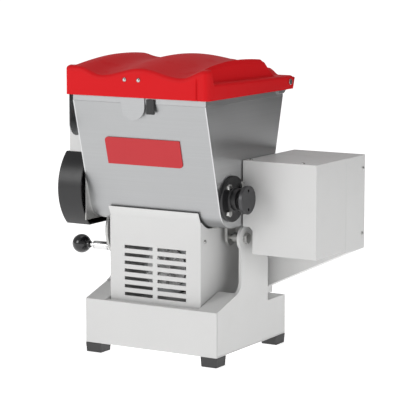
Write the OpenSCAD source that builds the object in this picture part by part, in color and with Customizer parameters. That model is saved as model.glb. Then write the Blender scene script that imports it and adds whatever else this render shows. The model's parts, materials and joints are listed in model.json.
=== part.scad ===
// Benchtop kneading mixer with a tilting tub: a fixed base with two lugs, a head that swings between them
// (tub, motor housing, belt case, gearbox, gear cover) and a hinged lid. Millimetres, +Z up, front towards -Y.

/* [Base] */
// Width over the side frames
base_w = 250; // [230:1:300]
// Depth of the base
base_d = 229; // [215:1:280]
// Height of the base walls behind the shoulders
base_h = 66.5; // [60:0.5:70]
// Height of the front panel
front_h = 74; // [70:0.5:74]
// Height of the shoulders at their back edge
shoulder_h = 94; // [84:1:96]
// Depth of the shoulders
shoulder_d = 68; // [55:1:74]
// Thickness of the folded sheet
sheet = 2.5; // [1.5:0.1:3]
// Depth of the ledge behind the front panel
ledge_d = 14; // [8:0.5:15]
// Height of a rubber foot
foot_h = 16; // [8:1:30]
// Width of a rubber foot at its top
foot_w = 30; // [20:1:40]

/* [Arms and pivot] */
// Thickness of a side frame
arm_t = 5; // [3:0.5:8]
// Distance of the pivot behind the front panel
pivot_y = 92; // [88:1:100]
// Height of the pivot above the base plate
pivot_z = 181; // [170:1:200]
// Radius of the round lugs
lug_r = 20; // [16:0.5:21]
// Diameter of the pivot bolts
bolt_d = 10; // [8:0.5:12]
// How far the head tilts forward, in degrees
tilt_max = 75; // [45:1:76]

/* [Plunger] */
// Distance of the index plunger in front of the pivot
plunger_dy = 12; // [10:0.5:16]
// Distance of the index plunger below the pivot
plunger_dz = 33; // [28:0.5:34]
// Outer diameter of the plunger sleeve
sleeve_d = 14.5; // [13:0.1:14.5]
// Length of the sleeve outside the arm
sleeve_len = 36; // [32:1:50]
// Diameter of the plunger pin
pin_d = 8; // [6:0.5:8]
// Diameter of the ball knob
knob_d = 32; // [25:1:32]

/* [Tub] */
// Depth of the tub's mouth, front to back
mouth_d = 251; // [240:1:280]
// Depth of the tub's flat bottom, front to back
bottom_d = 86; // [80:1:92]
// Gap between the tub's bottom and the pivot axis
tub_gap = 22; // [22:0.5:30]
// Height from the tub's bottom to the lower edge of the rim band
tub_h = 200; // [180:1:240]
// Height of the rim band
rim_h = 17; // [12:1:20]
// Radius of the tub's lower corners
corner_r = 38; // [30:1:42]
// Thickness of the tub's sheet
tub_t = 2; // [1:0.1:3]

/* [Mixing drive] */
// Distance between the two paddle shafts
shaft_gap = 92; // [90:0.5:96]
// Height of the shafts above the tub's bottom
shaft_rise = 48; // [46:0.5:52]
// Diameter of the paddle shafts
shaft_d = 18; // [14:0.5:20]
// Teeth on each of the two equal gears
gear_teeth = 23; // [17:2:31]
// Width of the gears
gear_w = 18; // [12:1:20]
// Radius swept by the paddles
paddle_r = 34; // [25:0.5:34.5]
// Depth of the gear cover, outwards
gear_cover_w = 46; // [40:1:60]
// Radius of the black bearing flange
flange_r = 37; // [30:0.5:38]
// How far the front shaft stands out on the right
shaft_out = 26; // [22:1:34]
// Radius of the shaft's end cap
cap_r = 22.8; // [18:0.1:25]

/* [Motor and belt] */
// Radius of the motor body
motor_r = 47; // [40:0.5:47]
// Length of the motor body
motor_len = 105; // [90:1:110]
// Width of the front housing
housing_w = 172; // [150:1:172]
// Radius of the motor pulley
motor_pulley_r = 25; // [20:0.5:30]
// Radius of the driven pulley
driven_pulley_r = 50; // [40:0.5:52]
// Depth of the belt case
belt_case_d = 70; // [60:1:80]
// Width of the white gearbox cover
cover_w = 132.5; // [125:0.5:150]
// Depth of the white gearbox cover
cover_d = 104; // [98:1:110]
// Teeth on the worm wheel
wheel_teeth = 30; // [24:1:40]
// Radius of the worm wheel
wheel_r = 35; // [30:0.5:36]

/* [Lid] */
// Distance of the lid's front in front of the tub's rim
lid_lap = 5; // [4:0.5:10]
// Height of the lid's front valleys above its lower edge
lid_low = 33; // [28:0.5:42]
// Height of the waves on the lid's front edge
lid_wave = 12.4; // [6:0.2:16]
// How far the lid arches up behind its front edge
lid_arch = 16.5; // [8:0.5:24]
// Thickness of the lid
lid_t = 3; // [2:0.1:4]

/* [Hidden] */
$fn = 48;
run = 0.05;                 // radial clearance of a running fit
seat = 0.3;                 // gap between pieces that slide past each other
eps = 0.01;                 // overlap of a cut with the face it leaves through
half_base = base_w / 2;
half_tub = half_base - 1;                   // outer faces of the tub's side plates
lid_x0 = -half_tub - 13;                    // the lid reaches further over the left side
lid_x1 = half_tub + 6.5;
lid_w = lid_x1 - lid_x0;
lid_mid = (lid_x0 + lid_x1) / 2;
lid_d = mouth_d + lid_lap + 30;             // it reaches back past the hinge
inner_x = housing_w / 2 + 2;                // inner face of the base opening
tub_y = pivot_y + 1;                        // middle of the tub
tub_z = pivot_z + tub_gap;                  // underside of the tub
wall_z = tub_z + tub_h;                     // lower edge of the rim band
rim_z = wall_z + rim_h;                     // upper edge of the rim band
corner_y = bottom_d / 2;                    // corner centres, from the middle of the tub
corner_z = tub_z + corner_r;
corner_reach = norm([mouth_d / 2 - corner_y, wall_z - corner_z]);
wall_turn = atan2(wall_z - corner_z, corner_y - mouth_d / 2) + acos(corner_r / corner_reach);
mouth_y0 = tub_y - mouth_d / 2;
mouth_y1 = tub_y + mouth_d / 2;
shaft_z = tub_z + shaft_rise;
shaft_y0 = tub_y - shaft_gap / 2;
shaft_y1 = tub_y + shaft_gap / 2;
shaft_r = shaft_d / 2;
gear_module = shaft_gap / gear_teeth;
gear_tip = shaft_gap / 2 + gear_module;
plate_t = 2;                                // backing plate behind the gear cover
gear_cover_x = -half_tub - plate_t;         // open side of the gear cover
gear_x = gear_cover_x - 8;                  // inner face of the gears
gear_cover_out = gear_cover_x - gear_cover_w;
cover_gap = 4;                              // free space between the gear tips and the cover
gear_cover_half = shaft_gap / 2 + gear_tip + cover_gap + sheet;
gear_cover_z0 = pivot_z + 12;
gear_cover_z1 = shaft_z + gear_tip + cover_gap + sheet + 5.5;
housing_z0 = front_h - 12;                  // the housing's floor hangs into the base
housing_y0 = 16;
housing_t = 2;                              // sheet of the front housing
housing_top = tub_z + 10;
motor_z = housing_z0 + motor_r + 19;
motor_y0 = pivot_y - 32;
motor_y1 = motor_y0 + motor_len;
motor_shaft_r = 7;
rotor_r = 28;
case_y0 = 82 + cover_d;                     // seam between the gearbox cover and the belt case
case_y1 = case_y0 + belt_case_d;
case_floor = housing_z0;
case_t = 2;                                 // sheet of the belt case
cover_x0 = half_tub + 1.5;
cover_x1 = cover_x0 + cover_w;
cover_y0 = case_y0 - cover_d;
cover_z0 = pivot_z - 23;
cover_z1 = shaft_z + 58;
slant_x = housing_w / 2;                    // where the belt case's floor starts to rise
slant_z0 = case_floor + 11.3;
slant_z = slant_z0 + (cover_x1 - slant_x) * tan(25);
worm_x = half_tub + 61;
worm_r = 9.5;
worm_z = shaft_z - wheel_r - worm_r - seat;
worm_shaft_r = 6;
belt_y = case_y0 + 18;                      // inner side of the pulleys
belt_w = 12;
flange_t = 5;
hub_len = 17;
cap_x = half_tub + shaft_out;
cap_t = 6;
disc_x = -half_tub + 12;                    // outer face of the lock disc
disc_t = 5;
disc_r = 52;
slot_r = norm([plunger_dy, plunger_dz]);
slot_start = atan2(-plunger_dz, -plunger_dy);
plunger_y = pivot_y - plunger_dy;
plunger_z = pivot_z - plunger_dz;
spacer_len = 15;
sleeve_out = -half_base - sleeve_len;
knob_x = sleeve_out - 9 - knob_d / 2;
lid_y0 = mouth_y0 - lid_lap;
lid_y1 = lid_y0 + lid_d;
lid_z = rim_z - 7.5;
hinge_y = mouth_y1 + 12.5;
hinge_z = lid_z + 12;
gland_len = 14;
gland_x = 20;
gland_z = case_floor + 38;
box_y0 = tub_y - 77;                        // front of the control box
switch_face = -half_tub - 41;               // outer face of the control box
switch_y = box_y0 + 50;
switch_z = gear_cover_z1 + 30;
mid_x = (cover_x1 + knob_x - knob_d / 2) / 2;
mid_y = (lid_y0 - 3 + case_y1 + gland_len) / 2;

// Extrudes a Y-Z outline from x0 to x1
module along_x(x0, x1) {
    translate([x0, 0, 0]) rotate([90, 0, 90]) linear_extrude(x1 - x0) children();
}

// Extrudes an X-Z outline from y0 to y1
module along_y(y0, y1) {
    translate([0, y1, 0]) rotate([90, 0, 0]) linear_extrude(y1 - y0) children();
}

// Box from corner a to corner b
module block(a, b) {
    translate(a) cube(b - a);
}

// Rod along X
module rod_x(x0, x1, y, z, r) {
    translate([x0, y, z]) rotate([0, 90, 0]) cylinder(r = r, h = x1 - x0);
}

// Rod along Y
module rod_y(y0, y1, x, z, r) {
    translate([x, y0, z]) rotate([-90, 0, 0]) cylinder(r = r, h = y1 - y0);
}

// Hexagon prism along X, across flats af
module hex_x(x0, x1, y, z, af) {
    translate([x0, y, z]) rotate([0, 90, 0]) cylinder(r = af / sqrt(3), h = x1 - x0, $fn = 6);
}

// Puts the model's origin under the middle of its box, on the table
module place() {
    translate([-mid_x, -mid_y, foot_h]) children();
}

// ---- base ----

// Folded floor, front panel with its ledge, and rear panel
module base_pan() {
    color("whitesmoke") place() {
        block([-half_base, 0, 0], [half_base, base_d, sheet]);
        block([-half_base, 0, sheet], [half_base, sheet, front_h]);
        block([-inner_x + 1, sheet, front_h - sheet], [inner_x - 1, ledge_d, front_h]);
        block([-half_base, base_d - sheet, sheet], [half_base, base_d, housing_z0 - 12]);
        for (side = [0, 1]) mirror([side, 0, 0])
            block([inner_x, base_d - sheet, housing_z0 - 12], [half_base, base_d, base_h]);
    }
}

// Outline of the outer plate of a side frame, with its arm and lug
module arm_outline() {
    neck_y = pivot_y - 13;
    fillet_r = 18;
    difference() {
        union() {
            polygon([[sheet, sheet], [sheet, front_h], [shoulder_d, shoulder_h],
                [neck_y - fillet_r, shoulder_h], [neck_y, shoulder_h + fillet_r],
                [neck_y, pivot_z - 12], [pivot_y, pivot_z], [pivot_y + 14, pivot_z + 12],
                [base_d - 61, 138], [base_d - 61, base_h], [base_d - sheet, base_h],
                [base_d - sheet, sheet]]);
            translate([pivot_y, pivot_z]) circle(lug_r);
        }
        translate([neck_y - fillet_r, shoulder_h + fillet_r]) circle(fillet_r);
    }
}

// Right side frame; the left one is its mirror image. side is 1 or -1
module side_frame(side) {
    bore_r = bolt_d / 2 + 0.2;
    color("whitesmoke") place() mirror([side < 0 ? 1 : 0, 0, 0]) difference() {
        union() {
            along_x(half_base - arm_t, half_base) arm_outline();
            along_x(inner_x, inner_x + sheet) polygon([[sheet, sheet], [sheet, front_h],
                [shoulder_d, shoulder_h], [shoulder_d, base_h], [base_d - sheet, base_h],
                [base_d - sheet, sheet]]);
            along_x(inner_x + sheet, half_base - arm_t) polygon([[sheet, front_h - sheet],
                [sheet, front_h], [shoulder_d, shoulder_h], [shoulder_d, base_h], [base_d - sheet, base_h],
                [base_d - sheet, base_h - sheet], [shoulder_d - sheet, base_h - sheet],
                [shoulder_d - sheet, shoulder_h - 1.3 * sheet]]);
        }
        if (side > 0) rod_x(half_base - arm_t - 1, half_base + 1, pivot_y, pivot_z, bore_r);
        if (side < 0) {
            rod_x(half_base - arm_t - 1, half_base + 1, pivot_y, pivot_z, bore_r);
            rod_x(half_base - arm_t - 1, half_base + 1, plunger_y, plunger_z, sleeve_d / 2 - 1);
        }
    }
}

module side_frame_left() { side_frame(-1); }

module side_frame_right() { side_frame(1); }

// Rubber foot at the corner on the side sx (-1 or 1), rear if back is true
module foot(sx, back) {
    splay = 2;
    x0 = sx > 0 ? half_base - foot_w : -half_base;
    y0 = back ? base_d - foot_w : 0;
    color("dimgray") translate([-mid_x, -mid_y, 0]) difference() {
        hull() {
            translate([x0, y0, foot_h - 1]) cube([foot_w, foot_w, 1]);
            translate([x0 + splay / 2, y0 + splay / 2, 0]) cube([foot_w - splay, foot_w - splay, 1]);
        }
        translate([x0 + foot_w / 2, y0 + foot_w / 2, -eps]) cylinder(d = 12, h = 6);
    }
}

module rubber_feet() {
    for (sx = [-1, 1], back = [false, true]) foot(sx, back);
}

// Hexagon bolts that the head swings on, heads outside the lugs
module pivot_bolts() {
    color("silver") place() for (side = [0, 1]) mirror([side, 0, 0]) {
        hex_x(half_base, half_base + 6, pivot_y, pivot_z, 16);
        rod_x(inner_x + 2, half_base, pivot_y, pivot_z, bolt_d / 2);
    }
}

// Spacer nuts that clamp the bolts to the lugs
module pivot_spacers() {
    color("silver") place() for (side = [0, 1]) mirror([side, 0, 0]) difference() {
        rod_x(half_base - arm_t - (side == 1 ? 4 : spacer_len), half_base - arm_t, pivot_y, pivot_z, 8.5);
        rod_x(inner_x, half_base, pivot_y, pivot_z, bolt_d / 2);
    }
}

// Retaining rings on the inner ends of the bolts
module pivot_clips() {
    clip_x = inner_x + 3.5;
    color("dimgray") place() for (side = [0, 1]) mirror([side, 0, 0]) difference() {
        rod_x(clip_x, clip_x + 1.5, pivot_y, pivot_z, 8);
        rod_x(clip_x - 1, clip_x + 3, pivot_y, pivot_z, bolt_d / 2);
    }
}

// ---- index plunger ----

collar_x = -half_base - 4;                  // inner face of the pin's collar
spring_x = sleeve_out + 3;                  // closed end of the sleeve

module plunger_sleeve() {
    color("silver") place() difference() {
        union() {
            rod_x(sleeve_out, -half_base, plunger_y, plunger_z, sleeve_d / 2);
            rod_x(-half_base, -half_base + arm_t + 5, plunger_y, plunger_z, sleeve_d / 2 - 1);
        }
        rod_x(sleeve_out - 1, -half_base + arm_t + 6, plunger_y, plunger_z, pin_d / 2 - 1 + run);
        rod_x(collar_x - 1, -half_base + arm_t + 6, plunger_y, plunger_z, pin_d / 2 + run);
        rod_x(spring_x, collar_x + 0.5, plunger_y, plunger_z, sleeve_d / 2 - 1.5);
    }
}

module plunger_nut() {
    nut_x = -half_base + arm_t;
    color("silver") place() difference() {
        hex_x(nut_x, nut_x + 4, plunger_y, plunger_z, 18);
        rod_x(nut_x - 1, nut_x + 5, plunger_y, plunger_z, sleeve_d / 2 - 1);
    }
}

// Round-wire spring between the collar and the closed end of the sleeve
module plunger_spring() {
    turns = 7;
    steps = 12;
    wire_r = 0.5;
    sides = 6;
    coil_r = sleeve_d / 2 - 2.4;
    x0 = spring_x + wire_r + 0.1;
    x1 = collar_x - 2 - wire_r - 0.1;
    rings = turns * steps;
    points = [for (i = [0:rings], k = [0:sides - 1])
        let (a = 360 * i / steps, b = 360 * k / sides, r = coil_r + wire_r * cos(b))
        [x0 + (x1 - x0) * i / rings + wire_r * sin(b), plunger_y + r * cos(a), plunger_z + r * sin(a)]];
    sideways = [for (i = [0:rings - 1], k = [0:sides - 1])
        [i * sides + k, (i + 1) * sides + k, (i + 1) * sides + (k + 1) % sides, i * sides + (k + 1) % sides]];
    ends = [[for (k = [0:sides - 1]) k], [for (k = [sides - 1:-1:0]) rings * sides + k]];
    color("silver") place() polyhedron(points, concat(sideways, ends), convexity = 10);
}

module plunger_pin() {
    color("silver") place() {
        rod_x(collar_x, disc_x + disc_t, plunger_y, plunger_z, pin_d / 2);
        rod_x(collar_x - 2, collar_x, plunger_y, plunger_z, sleeve_d / 2 - 1.5 - seat / 2);
        rod_x(knob_x + knob_d / 4, collar_x - 2, plunger_y, plunger_z, pin_d / 2 - 1);
    }
}

module ball_knob() {
    color("black") place() difference() {
        union() {
            translate([knob_x, plunger_y, plunger_z]) rotate([0, 90, 0]) sphere(d = knob_d);
            rod_x(knob_x, knob_x + knob_d / 2 + 2, plunger_y, plunger_z, 5.5);
        }
        rod_x(knob_x + knob_d / 4, knob_x + knob_d, plunger_y, plunger_z, pin_d / 2 - 1);
    }
}

// ---- tub ----

// Half outline of the tub, from the front edge of the mouth down to the middle of the bottom; inset i
function tub_side(i) = concat(
    [[-mouth_d / 2 + i / abs(cos(wall_turn)), wall_z]],
    [for (k = [0:8]) let (a = wall_turn + (270 - wall_turn) * k / 8)
        [-corner_y + (corner_r - i) * cos(a), corner_z + (corner_r - i) * sin(a)]]);

// Whole outline of the tub, with the points above the mouth raised by lift
function tub_points(i, lift) = let (p = tub_side(i)) concat(
    [[p[0][0], wall_z + lift]], p, [for (k = [len(p) - 1:-1:0]) [-p[k][0], p[k][1]]],
    [[-p[0][0], wall_z + lift]]);

module tub_outline(i, lift) {
    translate([tub_y, 0]) polygon(tub_points(i, lift));
}

module tub_wrap() {
    color("lightgray") place() along_x(-half_tub + tub_t, half_tub - tub_t) difference() {
        tub_outline(0, 0.001);
        tub_outline(tub_t, 5);
    }
}

// Side plate of the tub with the two shaft holes
module tub_plate(x0) {
    color("lightgray") place() difference() {
        along_x(x0, x0 + tub_t) tub_outline(0, 0.001);
        for (y = [shaft_y0, shaft_y1]) rod_x(x0 - 1, x0 + tub_t + 1, y, shaft_z, shaft_r + 1);
    }
}

module tub_side_left() { tub_plate(-half_tub); }

module tub_side_right() { tub_plate(half_tub - tub_t); }

// Folded band round the mouth, with the two hinge ears at the back
module tub_rim() {
    ear_t = 3;
    color("lightgray") place() difference() {
        union() {
            difference() {
                block([-half_tub, mouth_y0, wall_z + 0.001], [half_tub, mouth_y1, rim_z]);
                block([-half_tub + tub_t, mouth_y0 + tub_t, wall_z - 1],
                    [half_tub - tub_t, mouth_y1 - tub_t, rim_z + 1]);
            }
            for (side = [0, 1]) mirror([side, 0, 0]) hull() {
                block([half_tub, mouth_y1 - 22, lid_z - 6], [half_tub + ear_t, mouth_y1 - 2, hinge_z + 5]);
                rod_x(half_tub, half_tub + ear_t, hinge_y, hinge_z, 6);
            }
        }
        rod_x(-half_tub - 5, half_tub + 5, hinge_y, hinge_z, 3 + run);
    }
}

// Plain red plaque on the tub's front wall, laid on the slope of the wall
module plaque() {
    lean = wall_turn - 180;
    plaque_w = 141;
    plaque_h = 46;
    plaque_drop = 59;
    plaque_round = 7;
    color("crimson") place() translate([0, mouth_y0, wall_z]) rotate([lean, 0, 0])
        translate([-plaque_w / 2 - 3, 0, -plaque_h - plaque_drop]) rotate([90, 0, 0]) linear_extrude(1.5) hull() {
            translate([plaque_round, plaque_h - plaque_round]) circle(plaque_round);
            translate([plaque_w - plaque_round, plaque_round]) circle(plaque_round);
            square(1);
            translate([plaque_w - 1, plaque_h - 1]) square(1);
        }
}

module sensor_block() {
    color("black") place() block([16.5, mouth_y0 - 3.3, wall_z - 16], [32, mouth_y0 - 0.01, rim_z - 9]);
}

// White box for the switch and the sensor's cable, on the tub's left side above the gear cover
module control_box() {
    wall = 2;
    a = [switch_face, box_y0, gear_cover_z1 + 0.01];
    b = [-half_tub - 0.01, box_y0 + 100, gear_cover_z1 + 60];
    color("whitesmoke") place() difference() {
        block(a, b);
        block(a + [wall, wall, wall], b - [wall, wall, wall]);
        translate([switch_face, switch_y, switch_z]) block([-1, -14, -10], [wall + 1, 14, 10]);
    }
}

// ---- frame of the head ----

// Plate under the tub with an ear on each side for the pivot bolts
module cradle() {
    ear_x = inner_x + 6;
    ear_t = 5;
    plate_y0 = tub_y - corner_y;
    plate_y1 = tub_y + corner_y;
    color("silver") place() difference() {
        union() {
            block([-half_tub + 8, plate_y0, tub_z - 3], [ear_x + ear_t, plate_y1, tub_z]);
            for (side = [0, 1]) mirror([side, 0, 0]) {
                rod_x(ear_x, ear_x + ear_t, pivot_y, pivot_z, 14);
                block([ear_x, pivot_y - 14, pivot_z], [ear_x + ear_t, pivot_y + 14, tub_z - 3]);
            }
        }
        rod_x(-half_tub, half_tub, pivot_y, pivot_z, bolt_d / 2 + run);
    }
}

// Points along an arc of radius r about c, from angle a to angle b
function arc_points(c, r, a, b, steps) = [for (k = [0:steps]) let (t = a + (b - a) * k / steps)
    c + r * [cos(t), sin(t)]];

// Disc that the plunger holds, with the slot that its pin runs in
module lock_disc() {
    slot_half = pin_d / 2 + seat;
    slot_end = slot_start - tilt_max;
    color("silver") place() difference() {
        intersection() {
            rod_x(disc_x, disc_x + disc_t, pivot_y, pivot_z, disc_r);
            block([disc_x - 1, pivot_y - disc_r - 1, pivot_z - disc_r - 1],
                [disc_x + disc_t + 1, pivot_y + disc_r + 1, tub_z - 3]);
        }
        rod_x(disc_x - 1, disc_x + disc_t + 1, pivot_y, pivot_z, bolt_d / 2 + 0.5);
        along_x(disc_x - 1, disc_x + disc_t + 1) translate([pivot_y, pivot_z]) polygon(concat(
            arc_points([0, 0], slot_r + slot_half, slot_start, slot_end, 16),
            arc_points(slot_r * [cos(slot_end), sin(slot_end)], slot_half, slot_end - 22, slot_end - 158, 6),
            arc_points([0, 0], slot_r - slot_half, slot_end, slot_start, 16),
            arc_points(slot_r * [cos(slot_start), sin(slot_start)], slot_half, slot_start + 158,
                slot_start + 22, 6)));
    }
}

// White sheet housing round the motor, with louvres and a flap in front of the tub's bottom
module front_housing() {
    half = housing_w / 2;
    louvre_w = 54;
    louvre_h = 5.5;
    louvre_pitch = 13;
    louvre_top = housing_z0 + 101;
    flap_t = 2;
    color("whitesmoke") place() {
        difference() {
            block([-half, housing_y0, housing_z0], [half, housing_y0 + housing_t, housing_top]);
            along_x(-half - 1, half + 1) tub_outline(-3 - seat, 5);
            for (row = [0:6], sx = [-1, 1]) translate([sx * (louvre_w + 9) / 2, 0, louvre_top - row * louvre_pitch])
                block([-louvre_w / 2, housing_y0 - 1, -louvre_h / 2], [louvre_w / 2, housing_y0 + 3, louvre_h / 2]);
        }
        along_x(-half + 1, half - 1) polygon([[housing_y0, housing_top], [housing_y0 - 7, housing_top + 16],
            [housing_y0 - 7 + flap_t, housing_top + 16], [housing_y0 + flap_t, housing_top]]);
    }
}

module housing_floor() {
    half = housing_w / 2 - housing_t;
    color("whitesmoke") place()
        block([-half, housing_y0 + housing_t, housing_z0], [half, case_y0, housing_z0 + housing_t]);
}

// Side sheet of the front housing, cut to the tub's round bottom, from x0 outwards
module housing_side(x0) {
    color("whitesmoke") place() difference() {
        block([x0, housing_y0 + housing_t, housing_z0], [x0 + housing_t, case_y0, housing_top]);
        along_x(x0 - 1, x0 + housing_t + 1) tub_outline(-3 - seat, 5);
        block([x0 - 1, tub_y, tub_z - 7], [x0 + housing_t + 1, case_y0 + 1, housing_top + 1]);
    }
}

module housing_side_left() {
    housing_side(-housing_w / 2);
}

module housing_side_right() {
    housing_side(housing_w / 2 - housing_t);
}

// Pan-head screw along X with its head out to the right
module pan_screw_x(x, y, z, r) {
    rod_x(x, x + 2, y, z, r);
    rod_x(x - 3, x, y, z, r / 2);
}

// ---- motor, belt and gearbox ----

module motor_bracket() {
    color("gray") place() difference() {
        block([-32, motor_y0 + 5, motor_z + 25], [32, motor_y1 - 35, tub_z - 3]);
        rod_y(motor_y0, motor_y1, 0, motor_z, motor_r);
    }
}

module motor_body() {
    color("dimgray") place() difference() {
        rod_y(motor_y0, motor_y1, 0, motor_z, motor_r);
        rod_y(motor_y0 - 1, motor_y1 + 1, 0, motor_z, rotor_r + 0.5);
    }
}

module motor_shields() {
    color("silver") place() for (y = [motor_y0 - 5, motor_y1]) difference() {
        rod_y(y, y + 5, 0, motor_z, motor_r - 1);
        rod_y(y - 1, y + 6, 0, motor_z, motor_shaft_r + run);
    }
}

module rotor_shaft() {
    color("silver") place() {
        rod_y(housing_y0 + 8, belt_y + belt_w + 6, 0, motor_z, motor_shaft_r);
        rod_y(motor_y0 + 8, motor_y1 - 8, 0, motor_z, rotor_r);
    }
}

// Cooling fan in front of the motor
module fan() {
    y0 = motor_y0 - 19;
    fan_r = 36;
    color("gainsboro") place() difference() {
        union() {
            rod_y(y0 + 10, y0 + 12, 0, motor_z, fan_r);
            rod_y(y0, y0 + 12, 0, motor_z, 14);
            for (i = [0:8]) translate([0, y0 + 1, motor_z]) rotate([0, 40 * i, 0]) translate([10, 0, -1])
                cube([fan_r - 12, 10, 2]);
        }
        rod_y(y0 - 1, y0 + 13, 0, motor_z, motor_shaft_r);
    }
}

// V-belt pulley with its axis along Y
module pulley(x, z, r, bore) {
    groove = 8;
    difference() {
        translate([x, belt_y, z]) rotate([-90, 0, 0]) rotate_extrude() polygon([[bore, -2], [r + 3, -2],
            [r + 3, 0], [r - groove + 2, 4], [r - groove + 2, belt_w - 4], [r + 3, belt_w], [r + 3, belt_w + 2],
            [bore, belt_w + 2]]);
        rod_y(belt_y - 3, belt_y + belt_w + 3, x, z, bore);
    }
}

module motor_pulley() {
    color("gray") place() pulley(0, motor_z, motor_pulley_r, motor_shaft_r);
}

module driven_pulley() {
    color("gray") place() pulley(worm_x, worm_z, driven_pulley_r, worm_shaft_r);
}

// Round-ended loop through both pulleys, grown by g
module belt_loop(g) {
    hull() {
        translate([0, motor_z]) circle(motor_pulley_r + g);
        translate([worm_x, worm_z]) circle(driven_pulley_r + g);
    }
}

module drive_belt() {
    color("black") place() along_y(belt_y + 4.4, belt_y + belt_w - 4.4) difference() {
        belt_loop(2);
        belt_loop(-5);
    }
}

// Worm on its shaft; the thread is drawn as rings
module worm_shaft() {
    pitch = 7;
    color("silver") place() {
        rod_y(shaft_y1 - 50, belt_y + belt_w + 6, worm_x, worm_z, worm_shaft_r);
        for (i = [-3:3]) rod_y(shaft_y1 + i * pitch - 2, shaft_y1 + i * pitch + 2, worm_x, worm_z, worm_r);
    }
}

module worm_wheel() {
    wheel_w = 16;
    tooth = 360 / wheel_teeth;
    color("goldenrod") place() difference() {
        along_x(worm_x - wheel_w / 2, worm_x + wheel_w / 2) translate([shaft_y1, shaft_z])
            polygon([for (i = [0:wheel_teeth - 1], c = [[-0.3, 0], [-0.16, 3.5], [0.16, 3.5], [0.3, 0]])
                (wheel_r - 3.5 + c[1]) * [cos((i + c[0]) * tooth), sin((i + c[0]) * tooth)]]);
        rod_x(worm_x - wheel_w, worm_x + wheel_w, shaft_y1, shaft_z, shaft_r);
    }
}

// Gearbox casting: wheel chamber, worm tunnel and the tube that carries it on the tub's side
module gearbox_case() {
    wheel_x0 = worm_x - 14;
    wheel_x1 = worm_x + 14;
    color("silver") place() difference() {
        union() {
            rod_x(wheel_x0, wheel_x1, shaft_y1, shaft_z, wheel_r + 6);
            rod_y(shaft_y1 - 42, case_y0, worm_x, worm_z, 15);
            rod_x(half_tub, wheel_x0, shaft_y1, shaft_z, 18);
            rod_x(half_tub, half_tub + flange_t, shaft_y1, shaft_z, flange_r - 1);
        }
        rod_x(wheel_x0 + 4, wheel_x1 - 4, shaft_y1, shaft_z, wheel_r + 2);
        rod_y(shaft_y1 - 34, case_y0 - 8, worm_x, worm_z, worm_r + 1.5);
        rod_y(shaft_y1 - 52, case_y0 + 1, worm_x, worm_z, worm_shaft_r + run);
        rod_x(half_tub - 1, wheel_x1 + 1, shaft_y1, shaft_z, shaft_r + run);
    }
}

// White sheet cover over the gearbox, notched round the arm's lug
module gearbox_cover() {
    notch_x = cover_x0 + 18;
    notch_z = tub_z - 1;
    wall = 2;
    color("whitesmoke") place() difference() {
        along_y(cover_y0, case_y0) polygon([[notch_x, cover_z0], [cover_x1, cover_z0], [cover_x1, cover_z1],
            [cover_x0, cover_z1], [cover_x0, notch_z], [notch_x - 6, notch_z], [notch_x, notch_z - 6]]);
        along_y(cover_y0 + wall, case_y0 + 1) polygon([[notch_x + wall, cover_z0 + wall],
            [cover_x1 - wall, cover_z0 + wall], [cover_x1 - wall, cover_z1 - wall],
            [cover_x0 + wall, cover_z1 - wall], [cover_x0 + wall, notch_z + wall],
            [notch_x - 5, notch_z + wall], [notch_x + wall, notch_z - 5]]);
        rod_x(cover_x0 - 1, cover_x0 + wall + 1, shaft_y1, shaft_z, flange_r);
        rod_x(cover_x0 - 1, half_tub + flange_t + 1, shaft_y0, shaft_z, flange_r + seat);
    }
}

// Outline of the belt case, inset by i
module case_outline(i) {
    left = -45;
    shelf = tub_z + 4;
    polygon([[left + i, case_floor + i], [slant_x - i, case_floor + i], [slant_x - i, slant_z0 + i * 0.6],
        [cover_x1 - i, slant_z + i * 1.1],
        [cover_x1 - i, cover_z1 - i], [cover_x0 + i, cover_z1 - i], [cover_x0 + i, shelf + 40 - i],
        [left + i, shelf - 30 - i]]);
}

// Sheet that carries the belt drive
module belt_case_front() {
    color("whitesmoke") place() difference() {
        along_y(case_y0, case_y0 + case_t) case_outline(0);
        rod_y(case_y0 - 1, case_y0 + 3, 0, motor_z, motor_shaft_r + 2);
        rod_y(case_y0 - 1, case_y0 + 3, worm_x, worm_z, worm_shaft_r + 2);
    }
}

// Folded band of the belt case
module belt_case_rear() {
    color("whitesmoke") place() difference() {
        along_y(case_y0 + case_t, case_y1 - case_t) case_outline(0);
        along_y(case_y0 + case_t - 1, case_y1 - case_t + 1) case_outline(case_t);
    }
}

// Flat back of the belt case, with the gland's hole
module belt_case_back() {
    color("whitesmoke") place() difference() {
        along_y(case_y1 - case_t, case_y1) case_outline(0);
        rod_y(case_y1 - case_t - 1, case_y1 + 1, gland_x, gland_z, 8);
    }
}

// Gland for the mains lead in the rear of the belt case
module cable_gland() {
    color("black") place() difference() {
        union() {
            rod_y(case_y1, case_y1 + 5, gland_x, gland_z, 11);
            rod_y(case_y1 + 5, case_y1 + gland_len, gland_x, gland_z, 8);
            rod_y(case_y1 - 8, case_y1, gland_x, gland_z, 8);
        }
        rod_y(case_y1 - 9, case_y1 + gland_len + 1, gland_x, gland_z, 4);
    }
}

module switch_body() {
    color("black") place() translate([switch_face, switch_y, switch_z]) difference() {
        union() {
            block([-2, -16, -12], [0, 16, 12]);
            block([0, -14, -10], [18, 14, 10]);
        }
        block([-3, -11, -7.3], [12, 11, 7.3]);
    }
}

// Rocker on a level axle along Y
module switch_rocker() {
    color("black") place() translate([switch_face + 3, switch_y, switch_z]) rotate([90, 0, 0])
        linear_extrude(21, center = true) polygon([[-1, -5.8], [-4.4, -5.8], [-3.4, 0], [-5.6, 5.8], [-1, 5.8],
            [5, 0]]);
}

// Screws of the housings; every one is a pan head on a short shank
module housing_screws() {
    half = housing_w / 2;
    color("silver") place() for (side = [0, 1]) mirror([side, 0, 0])
        for (z = side == 0 ? [pivot_z] : [housing_z0 + 45, pivot_z]) pan_screw_x(half, housing_y0 + 13, z, 3);
}

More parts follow.
